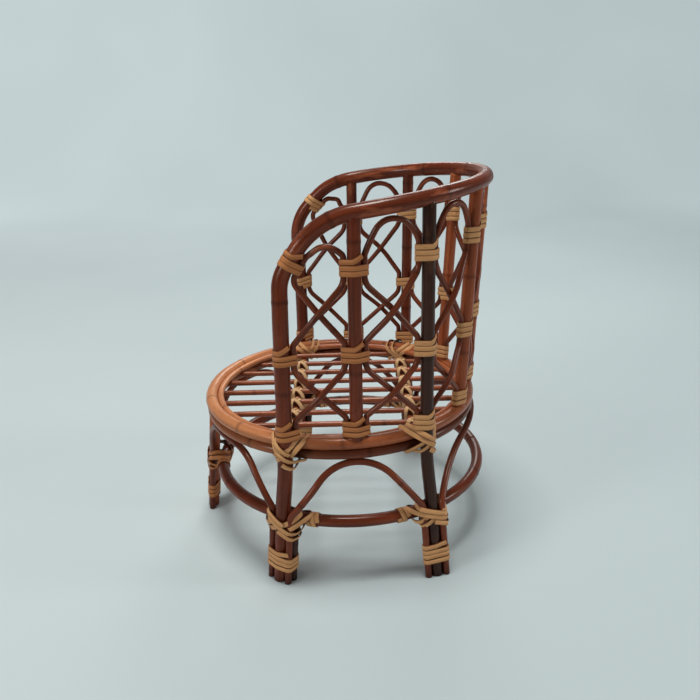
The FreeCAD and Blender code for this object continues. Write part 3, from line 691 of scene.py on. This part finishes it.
add_piece(rear_arch, "arch_rear", strand_rattan, "frame_rattan", "leg_arch_rear")
for name, foot in (("arm", arm_foot), ("rear", rear_foot)):
    ends = foot.beside(foot.stub, -OVERRUN), foot.beside(foot.stub, STUB_HEIGHT)
    for side, place in (("_left", Vector), ("_right", mirrored)):
        stub = stick("stub_" + name + side, place(ends[0]), place(ends[1]), STUB_D, on_floor=True)
        add_piece(stub, "stub_" + name + side, dark_rattan, "frame_rattan", "foot_stub_" + name + side)

# Post ties: flat split cane, unstained and straw coloured, wound wet round each post and the strands beside
# it. The end of each strip is tucked up through the last turn and left standing as a short tab. On two of the
# posts the stain has run into the cane and made it browner.
CANE_THICKNESS = 0.0009
CANE_LIFT = 0.00015
CANE_STEPS = 26
CANE_WOBBLE = 0.00025
TAB_TURN = 0.17
TAB_RISE = 0.0045
TAB_FROM = -100.0
OPEN_CLIMB = 0.25
OUTLINE_STEPS = 20
CANE_FIBRE_SCALE = (16, 15, 3)
CANE_PATCH_SCALE = (45, 1.2, 1)
CANE_PROFILE = ((-0.5, 0.0), (0.5, 0.0), (0.5, 0.55), (0.32, 0.95), (0.0, 1.0), (-0.32, 0.95), (-0.5, 0.55))


def taut_corners(poles, origin, side, depth, facing):
    # The taut line round the poles in the plane through origin, as (side, depth), from where tabs stand.
    skin = []
    for point, way, radius in poles:
        first = way.orthogonal().normalized()
        second = way.cross(first)
        for index in range(OUTLINE_STEPS):
            turn = 2 * math.pi * index / OUTLINE_STEPS
            spoke = point + (first * math.cos(turn) + second * math.sin(turn)) * radius
            spoke += way * ((origin - spoke).dot(facing) / way.dot(facing)) - origin
            skin.append(Vector((spoke.dot(side), spoke.dot(depth))))
    corners = [skin[index] for index in geometry.convex_hull_2d(skin)]
    middle = sum(corners, Vector((0, 0))) / len(corners)
    corners.sort(key=lambda corner: math.atan2(corner.y - middle.y, corner.x - middle.x))
    aim = Vector((math.cos(math.radians(TAB_FROM)), math.sin(math.radians(TAB_FROM))))
    first = max(range(len(corners)), key=lambda index: (corners[index] - middle).normalized().dot(aim))
    return corners[first:] + corners[:first + 1]


def even_steps(corners):
    lengths = [(after - before).length for before, after in zip(corners, corners[1:])]
    pace = sum(lengths) / CANE_STEPS
    line, travelled, index = [], 0.0, 0
    for step in range(CANE_STEPS):
        while travelled + lengths[index] < step * pace:
            travelled += lengths[index]
            index += 1
        share = (step * pace - travelled) / lengths[index]
        line.append(corners[index].lerp(corners[index + 1], share))
    return line


def strip_spots(poles, origin, side, facing, turns, chance, tab):
    # Points along a wound strip. It climbs to the next turn mostly on the side away from the tab.
    depth = facing.cross(side)
    lines = []
    for turn in range(turns + 2):
        plane = origin + facing * ((turn - (turns + 1) / 2) * CANE_PITCH)
        lines.append(even_steps(taut_corners(poles, plane, side, depth, facing)))
    wobbles = [chance.uniform(-CANE_WOBBLE, CANE_WOBBLE) for line in lines]
    spots = []
    for step in range(CANE_STEPS // 2, round((turns + (TAB_TURN if tab else 0.5)) * CANE_STEPS) + 1):
        turn, part = divmod(step, CANE_STEPS)
        share = part / CANE_STEPS
        place = lines[turn][part].lerp(lines[turn + 1][part], share)
        hidden = min(max(2 * share - 0.5, 0), 1)
        climb = turn + OPEN_CLIMB * share + (1 - OPEN_CLIMB) * hidden * hidden * (3 - 2 * hidden)
        wobble = wobbles[turn] * (1 - share) + wobbles[turn + 1] * share
        level = (climb - (turns + 1) / 2) * CANE_PITCH + wobble
        level += tab * max(0.0, step / CANE_STEPS - turns) / TAB_TURN
        spots.append(origin + side * place.x + depth * place.y + facing * level)
    return spots


def wind_cane(bm, poles, origin, side, facing, turns, chance, lift=0.0, tab=0.0):
    # One strip of cane wound round the poles, turn beside turn, from below to above.
    grain = bm.verts.layers.float_vector["grain"]
    facing = facing.normalized()
    spots = strip_spots(poles, origin, across(side, facing), facing, turns, chance, tab)
    row = chance.uniform(0, GRAIN_START)
    steps = len(spots) - 1
    before = None
    for step, here in enumerate(spots):
        ahead = (spots[min(step + 1, steps)] - spots[max(step - 1, 0)]).normalized()
        width = across(facing, ahead)
        out = ahead.cross(width)
        now = Matrix((width, out, ahead)).transposed().to_4x4()
        now.translation = here + out * (CANE_LIFT + lift)
        if before is None:
            ring = [bm.verts.new(now @ Vector((x * CANE_WIDTH, y * CANE_THICKNESS, 0)))
                    for x, y in CANE_PROFILE]
            for vert, (x, y) in zip(ring, CANE_PROFILE):
                vert[grain] = (row, x, y)
            edges = [bm.edges.new((one, other)) for one, other in zip(ring, ring[1:] + ring[:1])]
        else:
            made = bmesh.ops.extrude_edge_only(bm, edges=edges)["geom"]
            ring = [item for item in made if isinstance(item, bmesh.types.BMVert)]
            edges = [item for item in made if isinstance(item, bmesh.types.BMEdge)]
            bmesh.ops.transform(bm, matrix=now @ before.inverted(), verts=ring)
            row += (spots[step] - spots[step - 1]).length
            for vert in ring:
                vert[grain] = (row, vert[grain].y, vert[grain].z)
        before = now


def new_cane():
    bm = bmesh.new()
    bm.verts.layers.float_vector.new("grain")
    return bm


def add_cane(bm, name, material, node_name):
    bmesh.ops.holes_fill(bm, edges=[edge for edge in bm.edges if edge.is_boundary], sides=0)
    bmesh.ops.recalc_face_normals(bm, faces=bm.faces)
    add_piece(bm, name, material, "cane", node_name)


fibres, given, result = new_group("cane_fibres", (
    ("Light", "Color", "INPUT"), ("Dark", "Color", "INPUT"), ("Edge", "Color", "INPUT"),
    ("Colour", "Color", "OUTPUT"), ("Roughness", "Float", "OUTPUT"), ("Height", "Float", "OUTPUT")))
grain_place = node(fibres, "Attribute", attribute_name="grain").outputs["Vector"]
fibre = streaks(fibres, grain_place, CANE_FIBRE_SCALE, 4)
patch = streaks(fibres, grain_place, CANE_PATCH_SCALE, 2)
tone = maths(fibres, "ADD", remap(fibres, fibre, 0.3, 0.7, 0, 0.55), remap(fibres, patch, 0.3, 0.7, 0, 0.45))
strip = mix_colour(fibres, tone, given["Dark"], given["Light"])
parts = node(fibres, "SeparateXYZ", {"Vector": grain_place}).outputs
# Painted shade in part: the strip is darkened towards its cut edges and its low sides, where the gaps between
# turns are.
edge = remap(fibres, maths(fibres, "MULTIPLY", parts["Y"], parts["Y"]), 0.13, 0.25)
low = remap(fibres, parts["Z"], 0.9, 0.3)
edge_and_gap_shade = maths(fibres, "MULTIPLY", maths(fibres, "MAXIMUM", edge, low), 0.95)
fibres.links.new(mix_colour(fibres, edge_and_gap_shade, strip, given["Edge"]), result["Colour"])
fibres.links.new(remap(fibres, fibre, 0.3, 0.7, 0.55, 0.38), result["Roughness"])
fibres.links.new(fibre, result["Height"])


def cane(name, light, dark, edge):
    # Split cane: glossy outer bark with fine fibres along the strip. Its cut edges and low sides are painted
    # nearly black-brown: partly the browner cut edge, partly painted shade in the gaps between turns.
    material = bpy.data.materials.new(name)
    material.use_nodes = True
    tree = material.node_tree
    shader = tree.nodes["Principled BSDF"]
    look = node(tree, "Group", node_tree=fibres)
    for socket, colour in (("Light", light), ("Dark", dark), ("Edge", edge)):
        look.inputs[socket].default_value = (*colour, 1)
    bump = node(tree, "Bump", {"Height": look.outputs["Height"], "Strength": 0.5, "Distance": 0.0003})
    tree.links.new(look.outputs["Colour"], shader.inputs["Base Color"])
    tree.links.new(look.outputs["Roughness"], shader.inputs["Roughness"])
    tree.links.new(bump.outputs["Normal"], shader.inputs["Normal"])
    shader.inputs["Specular IOR Level"].default_value = 0.25
    shader.inputs["Specular Tint"].default_value = (1.0, 0.70, 0.45, 1)
    return material


# The third colour of each cane is its dark edge: partly the browner cut edge, partly painted shade in the
# gaps.
straw_cane = cane("straw_cane", (0.860, 0.490, 0.225), (0.570, 0.270, 0.108), (0.120, 0.042, 0.017))
brown_cane = cane("brown_cane", (0.680, 0.290, 0.115), (0.390, 0.138, 0.048), (0.085, 0.027, 0.011))
BROWN_TIES = ("arm_left", "side_left")
for index, post in enumerate(posts):
    chance = random.Random(post[0])
    ties = new_cane()
    for level, (point, way, half) in enumerate(post[2]):
        poles = [(point, way, post[1])]
        for neighbour in posts[max(index - 1, 0):index] + posts[index + 1:index + 2]:
            towards, distance = strand_seat(post, neighbour, level)
            poles.append((point + towards * distance, way, STRAND_D / 2))
        rearward = UP.cross(Vector((point.x, point.y, 0)))
        wind_cane(ties, poles, point, rearward, way, tie_turns[level], chance, tab=TAB_RISE)
    tie_cane = brown_cane if post[0] in BROWN_TIES else straw_cane
    add_cane(ties, "tie_" + post[0], tie_cane, "post_tie_" + post[0])

# Leg ties: the same split cane. An X of two turns each way binds leg to rim and leg to stretcher, a band on
# the stretcher holds the strip's end, and four turns bind the arch ends and the stub to the foot. The front
# leg has no X at the rim, and its cane is browner.
FOOT_TURNS = 4
FOOT_TIE_HEIGHT = 0.022
BAND_TURNS = 2
BAND_OFFSET = 0.022
CROSS_TURNS = 2
STRETCHER_TIE_SLOPE = 27.0
RIM_TIE_SLOPE = 42.0


def cross_cane(bm, poles, origin, side, outward, slope, turns, chance):
    rise = outward.cross(side)
    for steep, lift in ((1, 0.0), (-1, CANE_THICKNESS + FIT)):
        tilt = math.radians(slope) * steep
        along = side * math.cos(tilt) + rise * math.sin(tilt)
        wind_cane(bm, poles, origin, along, along.cross(outward), turns, chance, lift)


def ring_pole(radius, diameter, angle, height, back=0.0):
    return spot(radius, angle, height, back), tangent(angle), diameter / 2


def rim_rings(angle):
    return [ring_pole(RIM_RADIUS, UPPER_RIM_D, angle, SEAT_HEIGHT),
            ring_pole(RIM_RADIUS, LOWER_RIM_D, angle, LOWER_RIM_HEIGHT),
            ring_pole(INNER_RIM_RADIUS, INNER_RIM_D, angle, SEAT_HEIGHT)]


def foot_cane(bm, foot, band_side, chance):
    bundle = [(foot.low, foot.way, foot.diameter / 2)]
    for place, diameter in ((foot.front, ARCH_D), (foot.rear, ARCH_D), (foot.stub, STUB_D)):
        if place:
            bundle.append((foot.beside(place, STRETCHER_HEIGHT), foot.way, diameter / 2))
    low = on_line(foot.low, foot.way, FOOT_TIE_HEIGHT)
    wind_cane(bm, bundle, low, foot.rearward, foot.way, FOOT_TURNS, chance, tab=TAB_RISE / 2)
    angle = angle_of(foot.outward)
    stretcher_here = ring_pole(STRETCHER_RADIUS, STRETCHER_D, angle, STRETCHER_HEIGHT, STRETCHER_BACK)
    cross_cane(bm, bundle + [stretcher_here], foot.low, foot.rearward, foot.outward,
               STRETCHER_TIE_SLOPE, CROSS_TURNS, chance)
    angle += band_side * math.degrees(BAND_OFFSET / STRETCHER_RADIUS)
    band = ring_pole(STRETCHER_RADIUS, STRETCHER_D, angle, STRETCHER_HEIGHT, STRETCHER_BACK)
    wind_cane(bm, [band], band[0], UP, band[1], BAND_TURNS, chance)


for name, foot, rim_point, rim_way, band_side in (("arm", arm_foot, arm_rim, arm_way, 1),
                                                  ("rear", rear_foot, rear_rim, rear_way, -1)):
    for side in ("_left", "_right"):
        chance = random.Random(name + side)
        ties = new_cane()
        foot_cane(ties, foot, band_side, chance)
        outward = Vector((rim_point.x, rim_point.y, 0)).normalized()
        middle = Vector((rim_point.x, rim_point.y, (SEAT_HEIGHT + LOWER_RIM_HEIGHT) / 2))
        joint = [(rim_point, rim_way, foot.diameter / 2)] + rim_rings(angle_of(rim_point))
        cross_cane(ties, joint, middle, UP.cross(outward), outward, RIM_TIE_SLOPE, CROSS_TURNS, chance)
        if side == "_right":
            bmesh.ops.scale(ties, vec=(-1, 1, 1), verts=ties.verts)
        add_cane(ties, "leg_cane_" + name + side, straw_cane, "leg_tie_" + name + side)

chance = random.Random("front")
ties = new_cane()
foot_cane(ties, front_foot, 1, chance)
add_cane(ties, "leg_cane_front", brown_cane, "leg_tie_front")

# Seat lashing: a paler strip of cane along each cross bar, from one side of the seat to the other. It is
# crossed over each slat and under the bar, and so holds the slats down.
LASHING_SLOPE = 45.0
# The third colour is the dark edge: partly the browner cut edge, partly painted shade in the gaps.
pale_cane = cane("pale_cane", (0.760, 0.500, 0.270), (0.520, 0.300, 0.140), (0.230, 0.110, 0.050))
for name, place in BARS.items():
    chance = random.Random("lashing_" + name)
    lashing = new_cane()
    for slat_place in slat_places:
        if abs(slat_place) + SLAT_D < bar_halves[name]:
            middle = Vector((slat_place, place, BAR_HEIGHT))
            joint = [(middle, Vector((1, 0, 0)), BAR_D / 2),
                     (Vector((slat_place, place, SLAT_HEIGHT)), Vector((0, 1, 0)), SLAT_D / 2)]
            cross_cane(lashing, joint, middle, Vector((0, 1, 0)), UP, LASHING_SLOPE, 1, chance)
    add_cane(lashing, "lashing_" + name, pale_cane, "seat_lashing_" + name)

# Paper sweep: a wide pale blue-grey sheet that lies under the chair and curves up behind it. It is painted
# lighter towards the chair's front, a painted fall-off of the light, and it glows evenly where it rises, so
# that the lamps don't show on it.
PAPER_FRONT = 3.0
PAPER_BACK = -1.6
PAPER_HALF = 4.0
PAPER_BEND = 0.9
PAPER_TOP = 3.0
PAPER_STEPS = 24
GLOW_FROM, GLOW_TO = -0.7, -1.8
LIGHT_SIDE, DARK_SIDE = -0.9, 0.9
sweep = bmesh.new()
corners = [sweep.verts.new((PAPER_FRONT, side * PAPER_HALF, 0)) for side in (-1, 1)]
fold = [sweep.edges.new(corners)]
made = bmesh.ops.extrude_edge_only(sweep, edges=fold)["geom"]
line = [item for item in made if isinstance(item, bmesh.types.BMVert)]
bmesh.ops.translate(sweep, vec=(PAPER_BACK - PAPER_FRONT, 0, 0), verts=line)
fold = [item for item in made if isinstance(item, bmesh.types.BMEdge)]
made = bmesh.ops.spin(sweep, geom=fold, cent=(PAPER_BACK, 0, PAPER_BEND), axis=(0, 1, 0), angle=math.pi / 2,
                      steps=PAPER_STEPS, use_duplicate=False)["geom_last"]
fold = [item for item in made if isinstance(item, bmesh.types.BMEdge)]
made = bmesh.ops.extrude_edge_only(sweep, edges=fold)["geom"]
line = [item for item in made if isinstance(item, bmesh.types.BMVert)]
bmesh.ops.translate(sweep, vec=(0, 0, PAPER_TOP - PAPER_BEND), verts=line)
bmesh.ops.recalc_face_normals(sweep, faces=sweep.faces)
paper_mesh = bpy.data.meshes.new("paper_sweep")
sweep.to_mesh(paper_mesh)
sweep.free()
paper_mesh.shade_smooth()
paper = bpy.data.objects.new("paper_sweep", paper_mesh)
bpy.context.scene.collection.objects.link(paper)
paper_finish = bpy.data.materials.new("paper")
paper_finish.use_nodes = True
tree = paper_finish.node_tree
paper_shader = tree.nodes["Principled BSDF"]
place = node(tree, "TexCoord").outputs["Object"]
parts = node(tree, "SeparateXYZ", {"Vector": place}).outputs
mottle = node(tree, "TexNoise", {"Vector": place, "Scale": 1.4, "Detail": 2.0}).outputs["Fac"]
mottle = remap(tree, mottle, 0.3, 0.7, 0.0, 0.3)
# Painted light: the paper is painted lighter towards the chair's front, a painted fall-off of the light; the
# mottle is the paper's own uneven tone.
mottle_and_falloff = maths(tree, "ADD", mottle, remap(tree, parts["Y"], LIGHT_SIDE, DARK_SIDE, 0.7, 0.0))
shade = mix_colour(tree, mottle_and_falloff, (0.435, 0.515, 0.530, 1), (0.590, 0.675, 0.685, 1))
to_camera = node(tree, "LightPath").outputs["Is Camera Ray"]
paper_colour = mix_colour(tree, to_camera, (0.430, 0.450, 0.455, 1), shade)
tree.links.new(paper_colour, paper_shader.inputs["Base Color"])
paper_shader.inputs["Roughness"].default_value = 0.9
paper_shader.inputs["Specular IOR Level"].default_value = 0.1
glow = node(tree, "Emission", {"Color": shade})
seen = maths(tree, "MULTIPLY", to_camera, remap(tree, parts["X"], GLOW_FROM, GLOW_TO))
paper_look = node(tree, "MixShader", {"Fac": seen, 1: paper_shader.outputs[0], 2: glow.outputs[0]})
tree.links.new(paper_look.outputs[0], tree.nodes["Material Output"].inputs["Surface"])
paper_mesh.materials.append(paper_finish)

# Studio light: one large soft lamp above, three weaker ones round the chair, and a faint even light from all
# sides. Past the paper's edge the camera sees the paper's own colour.
LAMP_COLOUR = (1.0, 0.99, 0.97)
world = bpy.data.worlds.new("studio_air")
world.use_nodes = True
tree = world.node_tree
air = tree.nodes["Background"]
air.inputs["Color"].default_value = (1.0, 1.0, 1.0, 1)
air.inputs["Strength"].default_value = 0.1
beyond_paper = node(tree, "Background", {"Color": (0.500, 0.590, 0.605, 1)})
to_camera = node(tree, "LightPath").outputs["Is Camera Ray"]
air_look = node(tree, "MixShader", {"Fac": to_camera, 1: air.outputs[0], 2: beyond_paper.outputs[0]})
tree.links.new(air_look.outputs[0], tree.nodes["World Output"].inputs["Surface"])
bpy.context.scene.world = world


def soft_lamp(name, place, aim, size, power):
    lamp = bpy.data.lights.new(name, "AREA")
    lamp.shape, lamp.size, lamp.energy, lamp.color = "DISK", size, power, LAMP_COLOUR
    holder = bpy.data.objects.new(name, lamp)
    holder.location = place
    holder.rotation_euler = (Vector(aim) - Vector(place)).to_track_quat("-Z", "Y").to_euler()
    bpy.context.scene.collection.objects.link(holder)


soft_lamp("top_lamp", (0.1, -0.1, 3.3), (0, 0, 0.1), 1.1, 78)
soft_lamp("back_lamp", (-1.7, 0.3, 1.3), (0, 0, 0.25), 0.8, 8)
soft_lamp("front_lamp", (1.5, -2.0, 1.1), (0, 0, 0.15), 0.8, 16)
soft_lamp("side_lamp", (0.3, 2.4, 1.0), (0, 0, 0.15), 0.7, 13)

# Camera: on the chair's left side, a little above the rail and looking down at the seat. Its place and its
# three axes make the chair lie in the picture as it does in the photograph.
CAMERA_PLACE = (0.6249, 0.0136, 0.3867)
CAMERA_RIGHT = (0.0044, 0.9997, -0.0254)
CAMERA_UP = (-0.3393, 0.0254, 0.9403)
CAMERA_BACK = (0.9407, 0.0045, 0.3393)
CAMERA_SENSOR = 36.0
CAMERA_LENS = 36.508
camera = bpy.data.objects.new("camera", bpy.data.cameras.new("camera"))
camera.data.sensor_fit = "HORIZONTAL"
camera.data.sensor_width = CAMERA_SENSOR
camera.data.lens = CAMERA_LENS
camera.data.clip_start = 0.01
camera_axes = Matrix((CAMERA_RIGHT, CAMERA_UP, CAMERA_BACK)).transposed().to_4x4()
camera.matrix_world = Matrix.Translation(CAMERA_PLACE) @ camera_axes
bpy.context.scene.collection.objects.link(camera)
bpy.context.scene.camera = camera
bpy.context.scene.view_settings.view_transform = "Standard"
